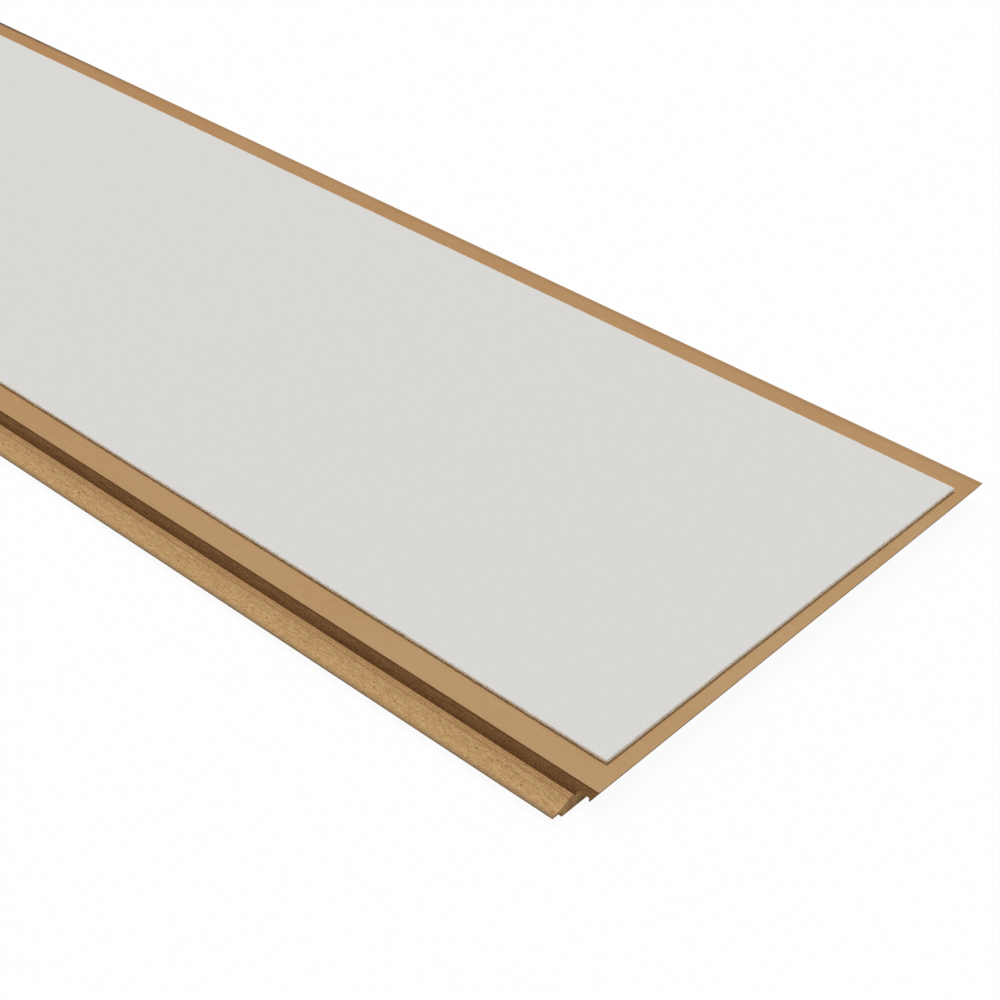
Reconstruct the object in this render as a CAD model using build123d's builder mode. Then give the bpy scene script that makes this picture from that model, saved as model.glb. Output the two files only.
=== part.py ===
"""Laminate floor plank lying decor face down, with the underlay sheet on its back upwards.

X runs along the plank, Y across it and Z up. The origin is the centre of the decor face.
"""

import os
from math import radians, tan

from build123d import *

# Plank: the decor face is measured from joint to joint
face_length = 1200.0
face_width = 190.0
board_thickness = 8.0
edge_ease = 0.4

# Clearances between two planks clicked together
fit_gap = 0.15
lip_gap = 0.35

# Locking edges: slopes are measured from the plane of the plank
wall_slope = 60.0
lock_slope = 65.0
notch_width = 0.6

# Long edges: tongue along one side, groove and locking lip along the other
long_lip = 7.5
tongue_reach = 4.0
tongue_face = 2.3
tongue_root = 1.25
root_radius = 6.0
tip_radius = 0.4
long_heel_drop = 2.2
heel_radius = 0.5
long_notch_drop = 3.6

# End edges: hook at one end, locking strip that it drops onto at the other
end_lip = 6.5
end_heel_drop = 2.6
end_notch_drop = 3.4
hook_lead = 0.6

# Underlay: foam sheet glued to the back, with a bare margin all round
pad_thickness = 1.5
pad_near_margin = 9.4
pad_far_margin = 10.1
pad_strip_margin_near = 5.7
pad_strip_margin_far = 4.4
pad_hook_margin = 5.0

# Derived sizes shared by both long edges
half_width = face_width / 2
wall_rate = 1 / tan(radians(wall_slope))
lock_rate = 1 / tan(radians(lock_slope))
long_recess = long_lip + lip_gap
long_heel_z = board_thickness - long_heel_drop
long_notch_z = board_thickness - long_notch_drop
long_wall_foot = long_recess - long_notch_drop * wall_rate
long_notch_in = long_wall_foot - notch_width
long_heel_in = long_notch_in - (long_heel_z - long_notch_z) * lock_rate
long_ridge_z = long_notch_z + fit_gap
long_ridge_out = long_lip - (board_thickness - long_ridge_z) * wall_rate
long_ridge_in = long_heel_in + (long_heel_z - long_ridge_z) * lock_rate + fit_gap
tongue_root_z = tongue_face + tongue_root
back_rate = (long_heel_z - tongue_root_z) / long_heel_in
long_channel_out = long_heel_in + fit_gap * (1 - lock_rate) / (1 + back_rate * lock_rate)
long_channel_z = tongue_root_z + long_channel_out * back_rate + fit_gap
tip_centre = tongue_reach - tip_radius
tip_top_z = tongue_face + 2 * tip_radius
groove_floor = tongue_reach + lip_gap
groove_face = tongue_face - fit_gap

# Derived sizes shared by both ends
half_length = face_length / 2
end_recess = end_lip + lip_gap
end_heel_z = board_thickness - end_heel_drop
end_notch_z = board_thickness - end_notch_drop
end_wall_foot = end_recess - end_notch_drop * wall_rate
end_notch_in = end_wall_foot - notch_width
end_heel_in = end_notch_in - (end_heel_z - end_notch_z) * lock_rate
end_ridge_z = end_notch_z + fit_gap
end_channel_z = end_heel_z + fit_gap
end_ridge_out = end_lip - (board_thickness - end_ridge_z) * wall_rate
end_ridge_in = end_heel_in + (end_heel_z - end_ridge_z) * lock_rate + fit_gap
end_channel_out = end_heel_in + (end_heel_z - end_channel_z) * lock_rate + fit_gap

# Fibreboard plank: the section milled along the sides, cut across by the one milled along the ends
with BuildPart() as plank_board:
    with BuildSketch(Plane.YZ):
        with BuildLine():
            # Tongue side, from the decor face up to the tongue
            Polyline(
                (edge_ease - half_width, 0),
                (-half_width, edge_ease),
                (-half_width, tongue_face),
                (-half_width - tip_centre, tongue_face),
            )
            # Rounded tip of the tongue
            ThreePointArc(
                (-half_width - tip_centre, tongue_face),
                (-half_width - tongue_reach, tongue_face + tip_radius),
                (-half_width - tip_centre, tip_top_z),
            )
            # Back of the tongue, sweeping up to the rounded heel and down into the locking notch
            FilletPolyline(
                (-half_width - tip_centre, tip_top_z),
                (-half_width, tongue_root_z),
                (long_heel_in - half_width, long_heel_z),
                (long_notch_in - half_width, long_notch_z),
                radius=[root_radius, heel_radius],
            )
            # Notch floor, wall, back of the plank, end of the lip and foot of its locking ridge
            Polyline(
                (long_notch_in - half_width, long_notch_z),
                (long_wall_foot - half_width, long_notch_z),
                (long_recess - half_width, board_thickness),
                (half_width + long_lip, board_thickness),
                (half_width + long_ridge_out, long_ridge_z),
                (half_width + long_ridge_in, long_ridge_z),
            )
            # Channel of the lip, which takes the heel and the back of the tongue
            FilletPolyline(
                (half_width + long_ridge_in, long_ridge_z),
                (half_width + long_channel_out, long_channel_z),
                (half_width, tongue_root_z + fit_gap),
                (half_width - tip_centre, tip_top_z + fit_gap),
                radius=[heel_radius + fit_gap, root_radius - fit_gap],
            )
            # Groove, decor edge and decor face
            Polyline(
                (half_width - tip_centre, tip_top_z + fit_gap),
                (half_width - groove_floor, tip_top_z + fit_gap),
                (half_width - groove_floor, groove_face),
                (half_width, groove_face),
                (half_width, edge_ease),
                (half_width - edge_ease, 0),
                (edge_ease - half_width, 0),
            )
        make_face()
    extrude(amount=half_length + end_lip, both=True)

    with BuildSketch(Plane.XZ):
        with BuildLine():
            # Hook end, from the decor face over the hook and notch to the back
            Polyline(
                (edge_ease - half_length, 0),
                (-half_length, edge_ease),
                (-half_length, end_heel_z - hook_lead),
                (hook_lead - half_length, end_heel_z),
                (end_heel_in - half_length, end_heel_z),
                (end_notch_in - half_length, end_notch_z),
                (end_wall_foot - half_length, end_notch_z),
                (end_recess - half_length, board_thickness),
                (half_length + end_lip, board_thickness),
            )
            # Strip end: end of the strip, locking ridge, channel and decor edge
            Polyline(
                (half_length + end_lip, board_thickness),
                (half_length + end_ridge_out, end_ridge_z),
                (half_length + end_ridge_in, end_ridge_z),
                (half_length + end_channel_out, end_channel_z),
                (half_length, end_channel_z),
                (half_length, edge_ease),
                (half_length - edge_ease, 0),
                (edge_ease - half_length, 0),
            )
        make_face()
    extrude(amount=half_width + long_lip, both=True, mode=Mode.INTERSECT)

    # Tongue cut off flush at the strip end, and lip cleared where the next strip lies at the hook end
    with Locations((half_length, long_wall_foot - half_width, 0)):
        Box(
            end_lip,
            long_wall_foot + tongue_reach,
            board_thickness,
            align=(Align.MIN, Align.MAX, Align.MIN),
            mode=Mode.SUBTRACT,
        )
    with Locations((end_wall_foot - half_length, half_width, 0)):
        Box(
            end_wall_foot,
            long_lip,
            board_thickness,
            align=(Align.MAX, Align.MIN, Align.MIN),
            mode=Mode.SUBTRACT,
        )

# Underlay sheet, cut a little out of square at the strip end
pad_near = long_recess - half_width + pad_near_margin
pad_far = half_width + long_lip - pad_far_margin
pad_hook = end_recess - half_length + pad_hook_margin
strip_edge = half_length + end_lip
with BuildPart() as underlay_pad:
    with BuildSketch(Plane.XY.offset(board_thickness)):
        with BuildLine():
            Polyline(
                (pad_hook, pad_near),
                (strip_edge - pad_strip_margin_near, pad_near),
                (strip_edge - pad_strip_margin_far, pad_far),
                (pad_hook, pad_far),
                close=True,
            )
        make_face()
    extrude(amount=pad_thickness)

plank_board.part.label = "plank_board"
underlay_pad.part.label = "underlay_pad"

os.makedirs("parts", exist_ok=True)
export_step(plank_board.part, "parts/plank_board.step")
export_step(underlay_pad.part, "parts/underlay_pad.step")
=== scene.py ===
"""Looks of a click-lock laminate floor plank, lying decor face down with its foam underlay on top.

Everything is in metres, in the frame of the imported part: X along the plank, Y across it and Z up.
Only the sizes of texture features are in millimetres, and their descriptions say so.
"""

import logging
from dataclasses import dataclass
from enum import IntEnum, StrEnum
from math import pi, radians, sin

import bmesh
import bpy
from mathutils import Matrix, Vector, noise


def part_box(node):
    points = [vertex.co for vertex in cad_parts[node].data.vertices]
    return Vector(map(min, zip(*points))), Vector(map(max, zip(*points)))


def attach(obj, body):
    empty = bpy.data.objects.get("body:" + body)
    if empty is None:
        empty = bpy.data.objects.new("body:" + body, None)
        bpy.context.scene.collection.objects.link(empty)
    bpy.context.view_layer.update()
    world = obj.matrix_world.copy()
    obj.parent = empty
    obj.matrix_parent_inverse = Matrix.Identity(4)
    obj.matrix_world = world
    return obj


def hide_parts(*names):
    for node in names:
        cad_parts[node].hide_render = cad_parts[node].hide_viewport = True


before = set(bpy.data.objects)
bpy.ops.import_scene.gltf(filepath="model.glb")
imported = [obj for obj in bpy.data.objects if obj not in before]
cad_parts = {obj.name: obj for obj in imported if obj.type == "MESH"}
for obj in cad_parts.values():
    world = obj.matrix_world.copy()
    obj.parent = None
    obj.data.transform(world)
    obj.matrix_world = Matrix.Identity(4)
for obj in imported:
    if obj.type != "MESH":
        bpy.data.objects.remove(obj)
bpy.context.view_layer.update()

log = logging.getLogger("plank")

MM = 0.001
# Distance under which two points or heights are one
CLOSE = 0.001 * MM
# Level of the shader's specular socket at which a surface reflects all that its IOR gives
FULL_SPECULAR = 0.5
BODY = "root"

Colour = tuple[float, float, float, float]
Input = float | tuple | bpy.types.NodeSocket

WHITE: Colour = (1.0, 1.0, 1.0, 1.0)


def linear(code: str) -> Colour:
    """Turn an sRGB hex colour into linear light.

    Args:
        code: The colour as "#RRGGBB".

    Returns:
        Linear red, green and blue, and an alpha of 1.
    """
    shares = [int(code[start : start + 2], 16) / 255 for start in (1, 3, 5)]
    red, green, blue = (
        share / 12.92 if share <= 0.04045 else ((share + 0.055) / 1.055) ** 2.4 for share in shares
    )
    return red, green, blue, 1.0


def per_mm(size: float) -> float:
    """Texture scale for a feature of this size in millimetres."""
    return 1 / (size * MM)


def add_node(
    tree: bpy.types.NodeTree,
    kind: str,
    inputs: dict[str | int, Input] | None = None,
    **settings: str | bool,
) -> bpy.types.Node:
    """Add a node with its settings, input values and links.

    Args:
        tree: The node tree that gets the node.
        kind: Blender's name for the type of node.
        inputs: Each input's name or number, with its value or the output that feeds it.
        settings: The node's own options.

    Returns:
        The new node.
    """
    node = tree.nodes.new(kind)
    for name, value in settings.items():
        setattr(node, name, value)
    for key, value in (inputs or {}).items():
        if isinstance(value, bpy.types.NodeSocket):
            tree.links.new(value, node.inputs[key])
        else:
            node.inputs[key].default_value = value
    return node


class Mix(IntEnum):
    """Numbers of the colour sockets of a Mix node."""

    FACTOR = 0
    FIRST = 6
    SECOND = 7
    RESULT = 2


class Axis(StrEnum):
    """Directions of the plank, as the sockets of separated coordinates name them."""

    ALONG = "X"
    ACROSS = "Y"
    UP = "Z"


@dataclass(frozen=True)
class Mottle:
    """Noise with features of a real size, which can be drawn out along the plank.

    Attributes:
        length: Length of a feature along the plank, in millimetres.
        width: Its width across the plank, in millimetres.
        detail: How many finer layers of noise it has.
        roughness: How strong each finer layer is beside the one before.
    """

    length: float
    width: float
    detail: float
    roughness: float = 0.5

    def drawn(self, tree: bpy.types.NodeTree, place: bpy.types.NodeSocket) -> bpy.types.NodeSocket:
        """Add the noise.

        Args:
            tree: The material's node tree.
            place: Object coordinates in metres.

        Returns:
            The noise, from 0 to 1.
        """
        across = per_mm(self.width)
        stretched = add_node(
            tree, "ShaderNodeMapping", {"Vector": place, "Scale": (per_mm(self.length), across, across)}
        )
        mottled = add_node(
            tree,
            "ShaderNodeTexNoise",
            {
                "Vector": stretched.outputs["Vector"],
                "Scale": 1.0,
                "Detail": self.detail,
                "Roughness": self.roughness,
            },
        )
        return mottled.outputs["Fac"]


@dataclass(frozen=True)
class Drift:
    """A slow change of tone along one axis.

    Attributes:
        axis: The axis.
        start: Where the change starts.
        end: Where it ends.
        change: How much lighter the tone gets, as a share of its range.
    """

    axis: Axis
    start: float
    end: float
    change: float

    def drawn(
        self, tree: bpy.types.NodeTree, axes: bpy.types.Node, tone: bpy.types.NodeSocket
    ) -> bpy.types.NodeSocket:
        """Add the change to a tone.

        Args:
            tree: The material's node tree.
            axes: The node that separates the object coordinates.
            tone: The tone.

        Returns:
            The changed tone.
        """
        drifted = add_node(
            tree,
            "ShaderNodeMapRange",
            {
                "Value": axes.outputs[self.axis],
                "From Min": self.start,
                "From Max": self.end,
                "To Max": self.change,
            },
        )
        changed = add_node(tree, "ShaderNodeMath", {0: tone, 1: drifted.outputs["Result"]}, operation="ADD")
        return changed.outputs["Value"]


@dataclass(frozen=True)
class PaintedShadeLine:
    """A darker line along the plank: painted shade.

    Attributes:
        place: Where the line runs, along Y.
        half_width: Half its width.
        strength: How strongly it covers what is under it, before fibres leave it patchy.
        colour: Its colour.
        fading: Where along X it is strongest and where it has faded away, if it doesn't run all along.
    """

    place: float
    half_width: float
    strength: float
    colour: str
    fading: tuple[float, float] | None = None

    def drawn(
        self,
        tree: bpy.types.NodeTree,
        axes: bpy.types.Node,
        under: bpy.types.NodeSocket,
        patches: bpy.types.NodeSocket,
    ) -> bpy.types.NodeSocket:
        """Add the line over a colour.

        Args:
            tree: The material's node tree.
            axes: The node that separates the object coordinates.
            under: The colour under the line.
            patches: Fibres that leave the line patchy.

        Returns:
            The colour with the line on it.
        """
        beside = add_node(
            tree,
            "ShaderNodeMath",
            {0: axes.outputs[Axis.ACROSS], 1: self.place},
            operation="SUBTRACT",
        )
        aside = add_node(tree, "ShaderNodeMath", {0: beside.outputs["Value"]}, operation="ABSOLUTE")
        track = add_node(
            tree,
            "ShaderNodeMapRange",
            {
                "Value": aside.outputs["Value"],
                "From Min": self.half_width,
                "From Max": 0.0,
                "To Max": self.strength,
            },
            interpolation_type="SMOOTHSTEP",
        )
        cover = add_node(
            tree, "ShaderNodeMath", {0: track.outputs["Result"], 1: patches}, operation="MULTIPLY"
        )
        if self.fading:
            strongest, gone = self.fading
            along = add_node(
                tree,
                "ShaderNodeMapRange",
                {"Value": axes.outputs[Axis.ALONG], "From Min": gone, "From Max": strongest},
            )
            cover = add_node(
                tree,
                "ShaderNodeMath",
                {0: cover.outputs["Value"], 1: along.outputs["Result"]},
                operation="MULTIPLY",
            )
        lined = add_node(
            tree,
            "ShaderNodeMix",
            {
                Mix.FACTOR: cover.outputs["Value"],
                Mix.FIRST: under,
                Mix.SECOND: linear(self.colour),
            },
            data_type="RGBA",
        )
        return lined.outputs[Mix.RESULT]


@dataclass(frozen=True)
class Pattern:
    """Outputs of a finish's texture nodes that feed its shader.

    Attributes:
        colour: Base colour.
        height: Height of the fine relief.
        relief: Depth of that relief over a height of 1.
    """

    colour: bpy.types.NodeSocket
    height: bpy.types.NodeSocket
    relief: float


@dataclass(frozen=True)
class Finish:
    """A surface finish, which makes one procedural material.

    Attributes:
        name: The material's name.
        roughness: Roughness of the surface.
        ior: Index of refraction of its outermost film.
        gloss: Share of the surface that is smooth enough to shine.
    """

    name: str
    roughness: float
    ior: float
    gloss: float

    def pattern(self, tree: bpy.types.NodeTree, place: bpy.types.NodeSocket) -> Pattern:
        """Add the finish's texture nodes.

        Args:
            tree: The material's node tree.
            place: Object coordinates in metres.

        Returns:
            The outputs for the shader.
        """
        raise NotImplementedError

    def shade(self) -> dict[str, Input]:
        """Further constant values for the shader's sockets."""
        return {}

    def material(self) -> bpy.types.Material:
        """Make the material.

        Returns:
            The new material.
        """
        material = bpy.data.materials.new(self.name)
        material.use_nodes = True
        tree = material.node_tree
        tree.nodes.clear()
        place = add_node(tree, "ShaderNodeTexCoord").outputs["Object"]
        pattern = self.pattern(tree, place)
        bump = add_node(
            tree,
            "ShaderNodeBump",
            {"Strength": 1.0, "Distance": pattern.relief, "Height": pattern.height},
        )
        sockets = {
            "Base Color": pattern.colour,
            "Normal": bump.outputs["Normal"],
            "Roughness": self.roughness,
            "IOR": self.ior,
            "Specular IOR Level": self.gloss * FULL_SPECULAR,
        }
        shader = add_node(tree, "ShaderNodeBsdfPrincipled", sockets | self.shade())
        add_node(tree, "ShaderNodeOutputMaterial", {"Surface": shader.outputs["BSDF"]})
        return material


@dataclass(frozen=True)
class KraftPaper(Finish):
    """Brown balancing paper pressed onto the board's back: smooth and matt, with faint clouds and fibres.

    Attributes:
        dark: Colour where it took in most resin.
        light: Colour where it took in least.
        tone: Tone between the two where no drift has started.
        mottling: How strongly clouds and fibres sway the tone.
        cloud: The clouds.
        fibre: The fibres, drawn coarser than real ones so that they show.
        relief: Depth of the fibres.
        drifts: Paler towards the strip end and darker along the lip.
        painted_shade_lines: Painted shade along the lip's edge, weak all along and stronger up to the
            middle of the plank.
    """

    dark: str = "#AA7F4F"
    light: str = "#B6946A"
    tone: float = 0.27
    mottling: float = 0.8
    cloud: Mottle = Mottle(45.0, 45.0, detail=4.0)
    fibre: Mottle = Mottle(5.0, 0.9, detail=3.0)
    relief: float = 0.01 * MM
    drifts: tuple[Drift, ...] = (
        Drift(Axis.ALONG, 100.0 * MM, 606.0 * MM, 0.5),
        Drift(Axis.ACROSS, 70.0 * MM, 95.0 * MM, -0.25),
    )
    painted_shade_lines: tuple[PaintedShadeLine, ...] = (
        PaintedShadeLine(101.4 * MM, 1.7 * MM, 0.31, "#3C2D20"),
        PaintedShadeLine(102.2 * MM, 2.2 * MM, 1.7, "#3C2D20", fading=(80.0 * MM, 200.0 * MM)),
    )

    def pattern(self, tree: bpy.types.NodeTree, place: bpy.types.NodeSocket) -> Pattern:
        """Add clouds, fibres and lines of painted shade.

        Args:
            tree: The material's node tree.
            place: Object coordinates in metres.

        Returns:
            The outputs for the shader.
        """
        cloud = self.cloud.drawn(tree, place)
        fibre = self.fibre.drawn(tree, place)
        both = add_node(tree, "ShaderNodeMath", {0: cloud, 1: fibre}, operation="ADD")
        # The two noises add up to about 1, where the paper has its own tone
        mottled = add_node(
            tree,
            "ShaderNodeMath",
            {0: both.outputs["Value"], 1: self.mottling, 2: self.tone - self.mottling},
            operation="MULTIPLY_ADD",
        )
        axes = add_node(tree, "ShaderNodeSeparateXYZ", {"Vector": place})
        tone = mottled.outputs["Value"]
        for drift in self.drifts:
            tone = drift.drawn(tree, axes, tone)
        paper = add_node(
            tree,
            "ShaderNodeMix",
            {Mix.FACTOR: tone, Mix.FIRST: linear(self.dark), Mix.SECOND: linear(self.light)},
            data_type="RGBA",
        )
        colour = paper.outputs[Mix.RESULT]
        # Painted shade along the lip's edge
        for line in self.painted_shade_lines:
            colour = line.drawn(tree, axes, colour, fibre)
        return Pattern(colour, fibre, self.relief)


@dataclass(frozen=True)
class MilledFibreboard(Finish):
    """High-density fibreboard as the cutter leaves it: matt and fibrous, darker in its dense outer layers.

    Attributes:
        thickness: Thickness of the board.
        layer: Depth of the dense layer at each of its two faces.
        dark: Colour of the darker fibre bundles.
        light: Colour of the lighter fibre bundles.
        tones: Sums of the bundles' and the grit's noise that have those two colours.
        dense: Colour of the dense layers.
        bark: Colour of the few dark flecks of bark.
        bundle: The fibre bundles.
        grit: The loose grit, drawn coarser than it is so that it shows.
        flecks: The flecks' noise.
        fleck_edge: Levels of that noise where a fleck starts and where it is darkest.
        relief: Depth of the fibrous relief.
        painted_shade_lines: Painted shade on the heel's crest, on its back and on the rounded tip of the
            tongue.
    """

    thickness: float
    layer: float = 0.9 * MM
    dark: str = "#AA8353"
    light: str = "#D3AF7E"
    tones: tuple[float, float] = (0.78, 1.3)
    dense: str = "#9A6F42"
    bark: str = "#855C37"
    bundle: Mottle = Mottle(3.0, 0.55, detail=5.0, roughness=0.65)
    grit: Mottle = Mottle(0.5, 0.5, detail=2.0)
    flecks: Mottle = Mottle(1.4, 0.8, detail=1.0)
    fleck_edge: tuple[float, float] = (0.69, 0.76)
    relief: float = 0.12 * MM
    # Painted shade on the heel's crest and back, and on the tongue's rounded tip
    painted_shade_lines: tuple[PaintedShadeLine, ...] = (
        PaintedShadeLine(-91.05 * MM, 0.45 * MM, 0.9, "#8A5A34"),
        PaintedShadeLine(-91.95 * MM, 0.7 * MM, 0.8, "#905A34"),
        PaintedShadeLine(-99.1 * MM, 2.0 * MM, 1.15, "#7A6955"),
    )

    def pattern(self, tree: bpy.types.NodeTree, place: bpy.types.NodeSocket) -> Pattern:
        """Add fibre bundles, grit, flecks, lines of painted shade and the dense outer layers.

        Args:
            tree: The material's node tree.
            place: Object coordinates in metres.

        Returns:
            The outputs for the shader.
        """
        bundle = self.bundle.drawn(tree, place)
        grit = self.grit.drawn(tree, place)
        both = add_node(tree, "ShaderNodeMath", {0: bundle, 1: grit}, operation="ADD")
        darkest, lightest = self.tones
        spread = add_node(
            tree,
            "ShaderNodeMapRange",
            {"Value": both.outputs["Value"], "From Min": darkest, "From Max": lightest},
        )
        fibres = add_node(
            tree,
            "ShaderNodeMix",
            {
                Mix.FACTOR: spread.outputs["Result"],
                Mix.FIRST: linear(self.dark),
                Mix.SECOND: linear(self.light),
            },
            data_type="RGBA",
        )
        start, full = self.fleck_edge
        dots = add_node(
            tree,
            "ShaderNodeMapRange",
            {"Value": self.flecks.drawn(tree, place), "From Min": start, "From Max": full},
        )
        flecked = add_node(
            tree,
            "ShaderNodeMix",
            {
                Mix.FACTOR: dots.outputs["Result"],
                Mix.FIRST: fibres.outputs[Mix.RESULT],
                Mix.SECOND: linear(self.bark),
            },
            data_type="RGBA",
        )
        axes = add_node(tree, "ShaderNodeSeparateXYZ", {"Vector": place})
        shaded = flecked.outputs[Mix.RESULT]
        # Lines of painted shade over the fibres
        for line in self.painted_shade_lines:
            shaded = line.drawn(tree, axes, shaded, bundle)
        middle = add_node(
            tree,
            "ShaderNodeMath",
            {0: axes.outputs[Axis.UP], 1: self.thickness / 2},
            operation="SUBTRACT",
        )
        away = add_node(tree, "ShaderNodeMath", {0: middle.outputs["Value"]}, operation="ABSOLUTE")
        outer = add_node(
            tree,
            "ShaderNodeMapRange",
            {
                "Value": away.outputs["Value"],
                "From Min": self.thickness / 2 - self.layer,
                "From Max": self.thickness / 2,
            },
            interpolation_type="SMOOTHSTEP",
        )
        colour = add_node(
            tree,
            "ShaderNodeMix",
            {
                Mix.FACTOR: outer.outputs["Result"],
                Mix.FIRST: shaded,
                Mix.SECOND: linear(self.dense),
            },
            data_type="RGBA",
        )
        return Pattern(colour.outputs[Mix.RESULT], both.outputs["Value"], self.relief)


@dataclass(frozen=True)
class OakPrint(Finish):
    """Printed oak decor under a clear melamine overlay: satin, with long grain, growth rings and pores.

    Attributes:
        dark: Colour of the late wood.
        light: Colour of the early wood.
        tones: Sums of the grain's noise and the rings that have those two colours.
        pore: Colour of the pores.
        figure: The broad figure, whose contours are the growth rings.
        ring_phase: Phase that the rings go through over the figure's full height, in radians.
        ring_depth: How strongly the rings sway the tone.
        grain: The grain lines.
        pores: The pores' noise, drawn wider than real pores so that they show.
        pore_edge: Levels of that noise where a pore starts and where it is deepest.
        relief: Depth of the pressed pores.
    """

    dark: str = "#A57C50"
    light: str = "#CBA678"
    tones: tuple[float, float] = (0.25, 0.75)
    pore: str = "#6F4F31"
    figure: Mottle = Mottle(420.0, 26.0, detail=3.0)
    ring_phase: float = 46.0
    ring_depth: float = 0.16
    grain: Mottle = Mottle(160.0, 1.6, detail=4.0)
    pores: Mottle = Mottle(14.0, 0.6, detail=2.0)
    pore_edge: tuple[float, float] = (0.36, 0.3)
    relief: float = 0.03 * MM

    def pattern(self, tree: bpy.types.NodeTree, place: bpy.types.NodeSocket) -> Pattern:
        """Add growth rings, grain lines and pores.

        Args:
            tree: The material's node tree.
            place: Object coordinates in metres.

        Returns:
            The outputs for the shader.
        """
        figure = self.figure.drawn(tree, place)
        grain = self.grain.drawn(tree, place)
        rings = add_node(tree, "ShaderNodeMath", {0: figure, 1: self.ring_phase}, operation="MULTIPLY")
        waves = add_node(tree, "ShaderNodeMath", {0: rings.outputs["Value"]}, operation="SINE")
        blend = add_node(
            tree,
            "ShaderNodeMath",
            {0: waves.outputs["Value"], 1: self.ring_depth, 2: grain},
            operation="MULTIPLY_ADD",
        )
        late, early = self.tones
        spread = add_node(
            tree,
            "ShaderNodeMapRange",
            {"Value": blend.outputs["Value"], "From Min": late, "From Max": early},
        )
        wood = add_node(
            tree,
            "ShaderNodeMix",
            {
                Mix.FACTOR: spread.outputs["Result"],
                Mix.FIRST: linear(self.dark),
                Mix.SECOND: linear(self.light),
            },
            data_type="RGBA",
        )
        start, full = self.pore_edge
        open_pores = add_node(
            tree,
            "ShaderNodeMapRange",
            {"Value": self.pores.drawn(tree, place), "From Min": start, "From Max": full},
        )
        colour = add_node(
            tree,
            "ShaderNodeMix",
            {
                Mix.FACTOR: open_pores.outputs["Result"],
                Mix.FIRST: wood.outputs[Mix.RESULT],
                Mix.SECOND: linear(self.pore),
            },
            data_type="RGBA",
        )
        pressed = add_node(
            tree, "ShaderNodeMath", {0: 1.0, 1: open_pores.outputs["Result"]}, operation="SUBTRACT"
        )
        return Pattern(colour.outputs[Mix.RESULT], pressed.outputs["Value"], self.relief)


@dataclass(frozen=True)
class ClosedCellFoam(Finish):
    """White polyethylene foam: matt, with small closed cells, and see-through where it is cut open.

    Attributes:
        dark: Colour of the cells' hollows.
        light: Colour of the cell walls.
        cell: Size of a cell, in millimetres.
        relief: Depth of the cells.
        see_through: How far light travels inside the foam.
        spread: Shares of that way that red, green and blue light go.
    """

    dark: str = "#D6D4D0"
    light: str = "#DBD9D5"
    cell: float = 1.1
    relief: float = 0.02 * MM
    see_through: float = 0.0
    spread: tuple[float, float, float] = (1.0, 0.95, 0.9)

    def pattern(self, tree: bpy.types.NodeTree, place: bpy.types.NodeSocket) -> Pattern:
        """Add the cells.

        Args:
            tree: The material's node tree.
            place: Object coordinates in metres.

        Returns:
            The outputs for the shader.
        """
        cells = add_node(tree, "ShaderNodeTexVoronoi", {"Vector": place, "Scale": per_mm(self.cell)})
        colour = add_node(
            tree,
            "ShaderNodeMix",
            {
                Mix.FACTOR: cells.outputs["Distance"],
                Mix.FIRST: linear(self.dark),
                Mix.SECOND: linear(self.light),
            },
            data_type="RGBA",
        )
        return Pattern(colour.outputs[Mix.RESULT], cells.outputs["Distance"], self.relief)

    def shade(self) -> dict[str, Input]:
        """Let light spread inside foam that is see-through.

        Returns:
            Further constant values for the shader's sockets.
        """
        if not self.see_through:
            return {}
        return {
            "Subsurface Weight": 1.0,
            "Subsurface Radius": self.spread,
            "Subsurface Scale": self.see_through,
        }


def copied_shape(node: str, flat: float = radians(0.5)) -> bmesh.types.BMesh:
    """Copy a CAD node's mesh, with its loose triangles joined into flat faces.

    Args:
        node: The CAD node's name.
        flat: Angle under which neighbouring faces are one.

    Returns:
        The copy.
    """
    shape = bmesh.new()
    shape.from_mesh(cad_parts[node].data)
    bmesh.ops.remove_doubles(shape, verts=shape.verts, dist=CLOSE)
    bmesh.ops.dissolve_limit(shape, angle_limit=flat, verts=shape.verts, edges=shape.edges)
    return shape


def edges_at(shape: bmesh.types.BMesh, height: float) -> list[bmesh.types.BMEdge]:
    """Find the edges that lie at a height.

    Args:
        shape: The mesh.
        height: The height.

    Returns:
        The edges.
    """
    return [
        edge for edge in shape.edges if all(abs(vert.co.z - height) < CLOSE for vert in edge.verts)
    ]


def finished_object(name: str, shape: bmesh.types.BMesh, finishes: list[Finish]) -> bpy.types.Object:
    """Turn a finished bmesh into an object of the scene.

    Args:
        name: The piece's name.
        shape: The mesh, which is freed.
        finishes: One finish for each material number of the mesh.

    Returns:
        The object, at the origin.
    """
    mesh = bpy.data.meshes.new(name)
    shape.to_mesh(mesh)
    shape.free()
    for finish in finishes:
        mesh.materials.append(finish.material())
    piece = bpy.data.objects.new(name, mesh)
    bpy.context.scene.collection.objects.link(piece)
    return piece


@dataclass
class FittedPiece:
    """A piece of the plank that stands in the place of a CAD node.

    Attributes:
        node: The CAD node's name.
        slot: The material slot of the CAD node; not used.
    """

    node: str
    slot: str

    def build(self) -> bpy.types.Object:
        """Build the piece's mesh and dress it.

        Returns:
            The finished piece.
        """
        raise NotImplementedError

    def place(self, piece: bpy.types.Object) -> None:
        """Fix the piece to the frame in place of the CAD node.

        Args:
            piece: The finished piece.
        """
        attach(piece, BODY)
        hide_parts(self.node)


class BoardFace(IntEnum):
    """Finishes of the board's faces, in the order of its materials."""

    BACK = 0
    MILLED = 1
    PAINTED_SHADE = 2
    DECOR = 3


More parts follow.
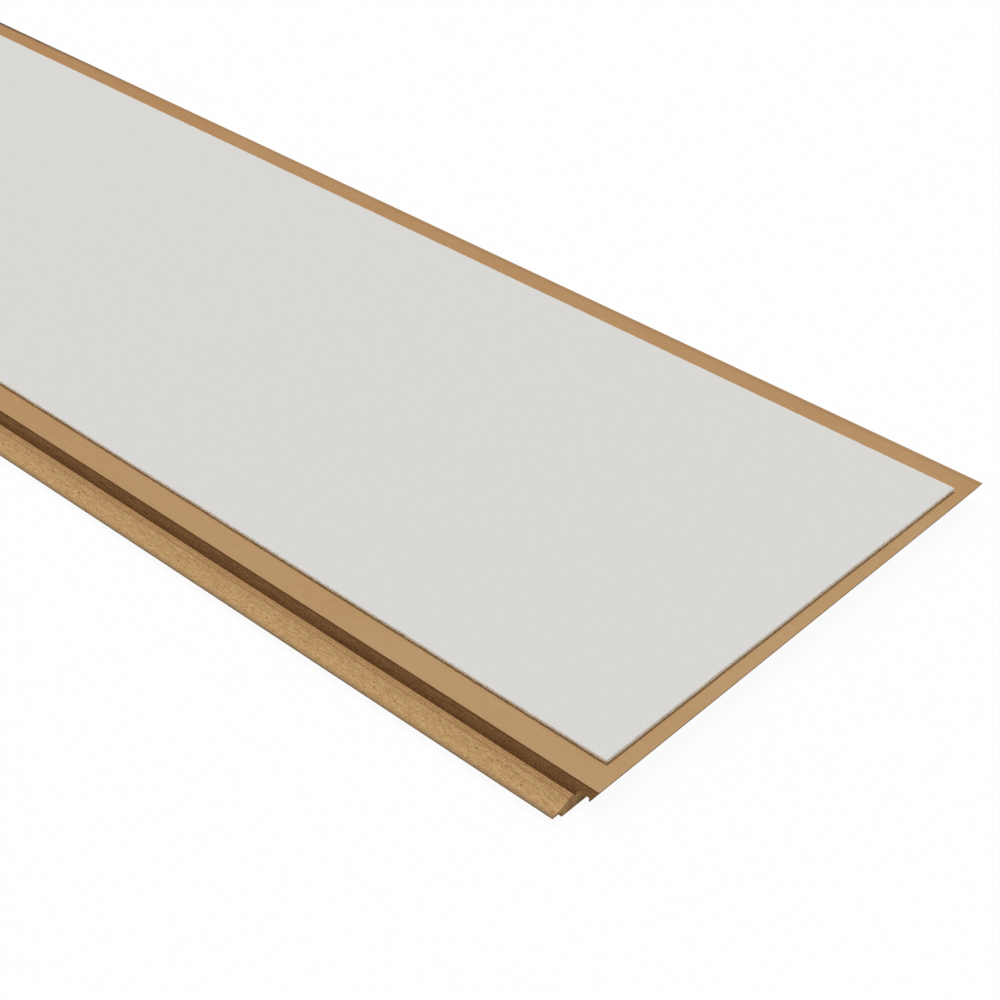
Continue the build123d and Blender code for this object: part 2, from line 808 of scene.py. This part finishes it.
@dataclass
class PlankBoard(FittedPiece):
    """The fibreboard plank with its milled click edges, papered back and printed decor face.

    Attributes:
        arris: Width of the rounded edges of the back.
        arris_steps: Steps in their rounding.
        decor_edge: Height up to which the decor's painted edge reaches.
        level: Share of Z in a normal from which a face counts as level.
        eased: Share of Z in a normal from which a face down there has the decor's paint.
        locking: Height above which steep faces are the locking faces, which get painted shade.
        notch: Height below which level faces there are the floors of the locking notches.
        steep: Share of Z in a normal below which a face counts as steep.
        sharp: Angle from which an edge is a corner.
    """

    node: str = "plank_board"
    slot: str = "fibreboard"
    arris: float = 0.1 * MM
    arris_steps: int = 2
    decor_edge: float = 0.4 * MM
    level: float = 0.95
    eased: float = 0.6
    locking: float = 4.2 * MM
    notch: float = 5.0 * MM
    steep: float = 0.8
    sharp: float = radians(32)

    def build(self) -> bpy.types.Object:
        """Build the board from the CAD solid, with rounded edges.

        Returns:
            The finished piece.
        """
        shape = copied_shape(self.node)
        top = max(vert.co.z for vert in shape.verts)
        bmesh.ops.bevel(
            shape,
            geom=edges_at(shape, top),
            offset=self.arris,
            offset_type="OFFSET",
            affect="EDGES",
            segments=self.arris_steps,
            profile=0.5,
            material=-1,
            clamp_overlap=True,
        )
        for face in shape.faces:
            face.material_index = self.surface(face, top)
        self.soften(shape)
        piece = finished_object("board", shape, self.finishes(top))
        normals = piece.modifiers.new("even_normals", "WEIGHTED_NORMAL")
        normals.keep_sharp = True
        return piece

    def surface(self, face: bmesh.types.BMFace, top: float) -> BoardFace:
        """Tell which finish a face has.

        Args:
            face: A face of the board.
            top: Height of the back.

        Returns:
            The finish.
        """
        middle = face.calc_center_median()
        arris = middle.z > top - self.arris
        along = abs(face.normal.x) < abs(face.normal.y)
        # The paper goes on over the rounded edges along the plank, but not over those at its ends
        if arris and (along or face.normal.z > self.level):
            return BoardFace.BACK
        if middle.z < self.decor_edge and face.normal.z < -self.eased:
            return BoardFace.DECOR
        wall = abs(face.normal.z) < self.steep
        flank = face.normal.z < self.level and face.normal.xy.dot(middle.xy) < 0
        floor = face.normal.z > self.level and middle.z < self.notch
        # Locking walls, inward flanks, notch floors and end arrises up there get painted shade
        if middle.z > self.locking and (arris or wall or flank or floor):
            return BoardFace.PAINTED_SHADE
        return BoardFace.MILLED

    def soften(self, shape: bmesh.types.BMesh) -> None:
        """Shade the milled curves smooth and keep the corners sharp.

        Args:
            shape: The board.
        """
        for face in shape.faces:
            face.smooth = True
        for edge in shape.edges:
            edge.smooth = edge.calc_face_angle(pi) < self.sharp

    def finishes(self, thickness: float) -> list[Finish]:
        """Give the board's finishes.

        Args:
            thickness: Thickness of the board.

        Returns:
            One finish for each member of BoardFace.
        """
        # Kraft paper soaked in resin and pressed smooth: plain brown with a faint sheen
        backing = KraftPaper("kraft_backing_paper", roughness=0.6, ior=1.5, gloss=0.35)
        # Fibreboard fresh from the cutter: pale, dry and fuzzy
        milled = MilledFibreboard(
            "milled_fibreboard", roughness=0.9, ior=1.45, gloss=0.3, thickness=thickness
        )
        # Fibreboard darkened with painted shade for the locking walls, flanks, notch floors and end
        # arrises: dark and smoother, with long streaks and a darker line of painted shade at the notch's
        # corner
        painted_shade_board = MilledFibreboard(
            "fibreboard_painted_shade",
            roughness=0.8,
            ior=1.45,
            gloss=0.3,
            thickness=thickness,
            dark="#724D2E",
            light="#9A7145",
            tones=(0.78, 1.22),
            dense="#6E4929",
            bark="#6A4627",
            bundle=Mottle(9.0, 0.5, detail=5.0, roughness=0.65),
            relief=0.05 * MM,
            painted_shade_lines=(PaintedShadeLine(-89.4 * MM, 0.6 * MM, 1.0, "#4F2A06"),),
        )
        # Decor paper printed as oak, under clear melamine: light wood with a satin shine
        decor = OakPrint("oak_print_melamine", roughness=0.38, ior=1.55, gloss=1.0)
        return [backing, milled, painted_shade_board, decor]


class FoamFace(IntEnum):
    """Finishes of the underlay's faces, in the order of its materials."""

    SKIN = 0
    CUT = 1


@dataclass
class Underlay(FittedPiece):
    """The foam sheet on the plank's back: a smooth skin, and knife-cut edges that are a little ragged.

    Attributes:
        cell: Length and width of a mesh cell.
        rim: Rounding of the upper edge.
        undercut: Rounding of the lower edge, which leaves a gap over the board.
        round_steps: Steps in each rounding.
        wall_cuts: Cuts that divide the straight part of the cut wall.
        edge_cuts: Cuts that divide each mesh cell along the sheet's edges.
        straight: Share of the wall's straight part from which a mesh edge spans it.
        level: Share of Z in a normal from which a face is level.
        steep: Share of Z in a normal below which a face is cut foam.
        ragged: Depth of the torn cells along the cut.
        ragged_end: Depth of the torn cells at the strip end, which was cut cleaner.
        torn: Size of a torn cell.
        wander: Depth of the cut's slow wandering.
        wave: Length of that wandering.
        lean: How far the foot of the cut at the strip end stands out.
        onset: How soon a point moves fully as its normal turns sideways.
        still: Share of a full move under which a point stays in place.
        glue: Thickness of the glue film under the sheet.
    """

    node: str = "underlay_pad"
    slot: str = "foam"
    cell: float = 12.0 * MM
    rim: float = 0.35 * MM
    undercut: float = 0.5 * MM
    round_steps: int = 3
    wall_cuts: int = 3
    edge_cuts: int = 15
    straight: float = 0.9
    level: float = 0.98
    steep: float = 0.7
    ragged: float = 0.2 * MM
    ragged_end: float = 0.09 * MM
    torn: float = 1.3 * MM
    wander: float = 0.12 * MM
    wave: float = 35.0 * MM
    lean: float = 0.22 * MM
    onset: float = 1.5
    still: float = 0.1
    glue: float = 0.02 * MM

    def build(self) -> bpy.types.Object:
        """Build the sheet from the CAD solid, with ragged rounded edges.

        Returns:
            The finished piece.
        """
        shape = copied_shape(self.node)
        low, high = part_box(self.node)
        for direction in (Vector((1, 0, 0)), Vector((0, 1, 0))):
            self.cut_strips(shape, direction, low, high)
        for height, width in ((high.z, self.rim), (low.z, self.undercut)):
            self.round_edge(shape, height, width)
        self.refine_edges(shape, low, high)
        self.roughen(shape, low, high)
        for face in shape.faces:
            face.material_index = FoamFace.CUT if abs(face.normal.z) < self.steep else FoamFace.SKIN
            face.smooth = abs(face.normal.z) < self.level
        return finished_object("underlay", shape, self.finishes())

    def cut_strips(
        self, shape: bmesh.types.BMesh, direction: Vector, low: Vector, high: Vector
    ) -> None:
        """Cut the sheet's mesh into even strips.

        Args:
            shape: The sheet.
            direction: Direction across the cuts.
            low: Lowest corner of the sheet.
            high: Highest corner of the sheet.
        """
        start, end = low.dot(direction), high.dot(direction)
        count = round((end - start) / self.cell)
        for step in range(1, count):
            bmesh.ops.bisect_plane(
                shape,
                geom=[*shape.verts, *shape.edges, *shape.faces],
                plane_co=direction * (start + (end - start) * step / count),
                plane_no=direction,
            )

    def round_edge(self, shape: bmesh.types.BMesh, height: float, width: float) -> None:
        """Round the sheet's upper or lower edge.

        Args:
            shape: The sheet.
            height: Height of the edge.
            width: Width of the rounding.
        """
        edges = [
            edge
            for edge in edges_at(shape, height)
            if any(abs(face.normal.z) < self.steep for face in edge.link_faces)
        ]
        bmesh.ops.bevel(
            shape,
            geom=edges,
            offset=width,
            offset_type="OFFSET",
            affect="EDGES",
            segments=self.round_steps,
            profile=0.5,
            material=-1,
        )

    def refine_edges(self, shape: bmesh.types.BMesh, low: Vector, high: Vector) -> None:
        """Divide the cut edges' faces finely enough for torn cells.

        Args:
            shape: The sheet.
            low: Lowest corner of the sheet.
            high: Highest corner of the sheet.
        """
        wall = high.z - low.z - self.rim - self.undercut
        upright = [edge for edge in shape.edges if self.spans(edge, wall)]
        bmesh.ops.subdivide_edges(shape, edges=upright, cuts=self.wall_cuts)
        around = [edge for edge in shape.edges if self.runs_around(edge)]
        bmesh.ops.subdivide_edges(shape, edges=around, cuts=self.edge_cuts)

    def spans(self, edge: bmesh.types.BMEdge, wall: float) -> bool:
        """Tell whether an edge spans the straight part of the cut wall, which has this height."""
        first, second = edge.verts
        return abs(first.co.z - second.co.z) > self.straight * wall

    def runs_around(self, edge: bmesh.types.BMEdge) -> bool:
        """Tell whether an edge runs along the sheet's outline, on its rim or its wall.

        Args:
            edge: An edge of the sheet.

        Returns:
            Whether it does.
        """
        first, second = edge.verts
        lies = abs(first.co.z - second.co.z) < CLOSE
        return lies and any(abs(face.normal.z) < self.level for face in edge.link_faces)

    def roughen(self, shape: bmesh.types.BMesh, low: Vector, high: Vector) -> None:
        """Let the cut wander and lean, tear its cells and lift the sheet onto its glue.

        Args:
            shape: The sheet.
            low: Lowest corner of the sheet.
            high: Highest corner of the sheet.
        """
        shape.normal_update()
        moves = [self.pulled(vert, low, high) for vert in shape.verts]
        for vert, move in zip(shape.verts, moves):
            vert.co += move
            if abs(vert.co.z - low.z) < CLOSE:
                vert.co.z += self.glue

    def pulled(self, vert: bmesh.types.BMVert, low: Vector, high: Vector) -> Vector:
        """Work out how far the knife pulled a point of the cut sideways.

        Args:
            vert: A point of the sheet.
            low: Lowest corner of the sheet.
            high: Highest corner of the sheet.

        Returns:
            The point's move, which is level, and nothing on the skin.
        """
        sideways = vert.normal.copy()
        sideways.z = 0.0
        share = min(1.0, sideways.length * self.onset)
        if share < self.still:
            return Vector()
        outward = sideways.normalized()
        end_on = max(0.0, outward.x)
        ragged = self.ragged + (self.ragged_end - self.ragged) * end_on
        depth = (high.z - vert.co.z) / (high.z - low.z)
        slow = noise.noise(vert.co / self.wave) * self.wander
        fast = noise.noise(vert.co / self.torn) * ragged
        slant = self.lean * depth * end_on
        return outward * (slow + fast + slant) * share

    def finishes(self) -> list[Finish]:
        """Give the underlay's finishes.

        Returns:
            One finish for each member of FoamFace.
        """
        # Polyethylene foam with its skin from the extruder: flat pale grey, hardly any shine
        skin = ClosedCellFoam("foam_skin", roughness=0.75, ior=1.45, gloss=0.3)
        # The same foam cut open: rough and see-through, its lighter cream colour painted bounce light from
        # the board
        cut = ClosedCellFoam(
            "foam_cut_edge",
            roughness=0.9,
            ior=1.45,
            gloss=0.3,
            dark="#E2D0BA",
            light="#F6EADA",
            cell=0.9,
            relief=0.15 * MM,
            see_through=2.0 * MM,
        )
        return [skin, cut]

    def place(self, piece: bpy.types.Object) -> None:
        """Fix the piece to the frame in place of the CAD node."""
        super().place(piece)


@dataclass
class Viewpoint:
    """The camera at the photograph's viewing angle.

    Attributes:
        place: Where the camera stands.
        azimuth: Its direction, in degrees from +Y towards -X.
        elevation: How far it looks down, in degrees.
        focal_pixels: Its focal length in pixels of the picture.
        picture: Width of the picture in pixels.
        sensor: Width of the sensor in millimetres.
        nearest: Distance from which it sees things.
    """

    place: tuple[float, float, float] = (0.85334, -0.39363, 0.40245)
    azimuth: float = 42.739
    elevation: float = 37.027
    focal_pixels: float = 2057.74
    picture: float = 1000.0
    sensor: float = 36.0
    nearest: float = 0.01

    def build(self) -> None:
        """Make the camera and give it to the scene."""
        lens = bpy.data.cameras.new("camera")
        lens.sensor_width = self.sensor
        lens.lens = self.focal_pixels * self.sensor / self.picture
        lens.clip_start = self.nearest
        camera = bpy.data.objects.new("camera", lens)
        camera.location = self.place
        camera.rotation_euler = (radians(90 - self.elevation), 0, radians(self.azimuth))
        bpy.context.scene.collection.objects.link(camera)
        bpy.context.scene.camera = camera


@dataclass
class Studio:
    """A pale floor under one broad soft lamp and even light from all round.

    Attributes:
        lamp_azimuth: Direction that the lamp stands in, in degrees from +Y towards -X.
        lamp_elevation: Height of the lamp, in degrees.
        lamp_width: Width of the lamp as the object sees it, in degrees.
        lamp_share: The lamp's share of the light on a level surface; the rest comes from all round.
        floor_width: Width of the floor.
        floor_colour: Colour of the floor.
        floor_white: How far the floor is washed out to white.
    """

    lamp_azimuth: float = 54.0
    lamp_elevation: float = 74.0
    lamp_width: float = 40.0
    lamp_share: float = 0.78
    floor_width: float = 20.0
    floor_colour: str = "#F4F3F1"
    floor_white: float = 0.95

    def build(self) -> None:
        """Make the lamp, the surrounding light and the floor."""
        scene = bpy.context.scene
        scene.view_settings.view_transform = "Standard"
        self.hang_lamp()
        scene.world = self.surround()
        self.lay_floor()

    def hang_lamp(self) -> None:
        """Hang the lamp so that a level surface gets its share of the light."""
        lamp = bpy.data.lights.new("softbox", "SUN")
        lamp.angle = radians(self.lamp_width)
        lamp.energy = self.lamp_share * pi / sin(radians(self.lamp_elevation))
        holder = bpy.data.objects.new("softbox", lamp)
        holder.rotation_euler = (radians(self.lamp_elevation - 90), 0, radians(self.lamp_azimuth))
        bpy.context.scene.collection.objects.link(holder)

    def surround(self) -> bpy.types.World:
        """Make the surrounding light, which looks white itself.

        Returns:
            The world.
        """
        world = bpy.data.worlds.new("studio")
        world.use_nodes = True
        tree = world.node_tree
        tree.nodes.clear()
        even = add_node(
            tree, "ShaderNodeBackground", {"Color": WHITE, "Strength": 1 - self.lamp_share}
        )
        white = add_node(tree, "ShaderNodeBackground", {"Color": WHITE, "Strength": 1.0})
        shown = add_node(
            tree,
            "ShaderNodeMixShader",
            {0: self.looked_at(tree), 1: even.outputs["Background"], 2: white.outputs["Background"]},
        )
        add_node(tree, "ShaderNodeOutputWorld", {"Surface": shown.outputs["Shader"]})
        return world

    def looked_at(self, tree: bpy.types.NodeTree) -> bpy.types.NodeSocket:
        """Add nodes that tell whether something is looked at, directly or in a reflection.

        Args:
            tree: The node tree.

        Returns:
            1 where it is looked at, and otherwise 0.
        """
        path = add_node(tree, "ShaderNodeLightPath")
        mirrored = add_node(
            tree,
            "ShaderNodeMath",
            {0: path.outputs["Is Glossy Ray"], 1: path.outputs["Is Transmission Ray"]},
            operation="ADD",
        )
        total = add_node(
            tree,
            "ShaderNodeMath",
            {0: path.outputs["Is Camera Ray"], 1: mirrored.outputs["Value"]},
            operation="ADD",
            use_clamp=True,
        )
        return total.outputs["Value"]

    def lay_floor(self) -> None:
        """Lay the floor."""
        shape = bmesh.new()
        bmesh.ops.create_grid(shape, x_segments=1, y_segments=1, size=self.floor_width / 2)
        mesh = bpy.data.meshes.new("floor")
        shape.to_mesh(mesh)
        shape.free()
        mesh.materials.append(self.floor_paint())
        floor = bpy.data.objects.new("floor", mesh)
        bpy.context.scene.collection.objects.link(floor)

    def floor_paint(self) -> bpy.types.Material:
        """Make the floor's matt paint, which is washed out to white but keeps the object's shadow.

        Returns:
            The material.
        """
        material = bpy.data.materials.new("pale_floor")
        material.use_nodes = True
        tree = material.node_tree
        tree.nodes.clear()
        paint = add_node(tree, "ShaderNodeBsdfDiffuse", {"Color": linear(self.floor_colour)})
        white = add_node(tree, "ShaderNodeEmission", {"Color": WHITE, "Strength": 1.0})
        wash = add_node(
            tree,
            "ShaderNodeMath",
            {0: self.looked_at(tree), 1: self.floor_white},
            operation="MULTIPLY",
        )
        mixed = add_node(
            tree,
            "ShaderNodeMixShader",
            {0: wash.outputs["Value"], 1: paint.outputs["BSDF"], 2: white.outputs["Emission"]},
        )
        add_node(tree, "ShaderNodeOutputMaterial", {"Surface": mixed.outputs["Shader"]})
        return material


def main() -> None:
    """Build the plank, its underlay and the studio, and log each piece's face count."""
    logging.basicConfig(level=logging.INFO, format="%(name)s: %(message)s")
    Studio().build()
    Viewpoint().build()
    for part in (PlankBoard(), Underlay()):
        piece = part.build()
        part.place(piece)
        log.info("%s has %d faces", piece.name, len(piece.data.polygons))
    bpy.context.view_layer.update()


if __name__ == "__main__":
    main()
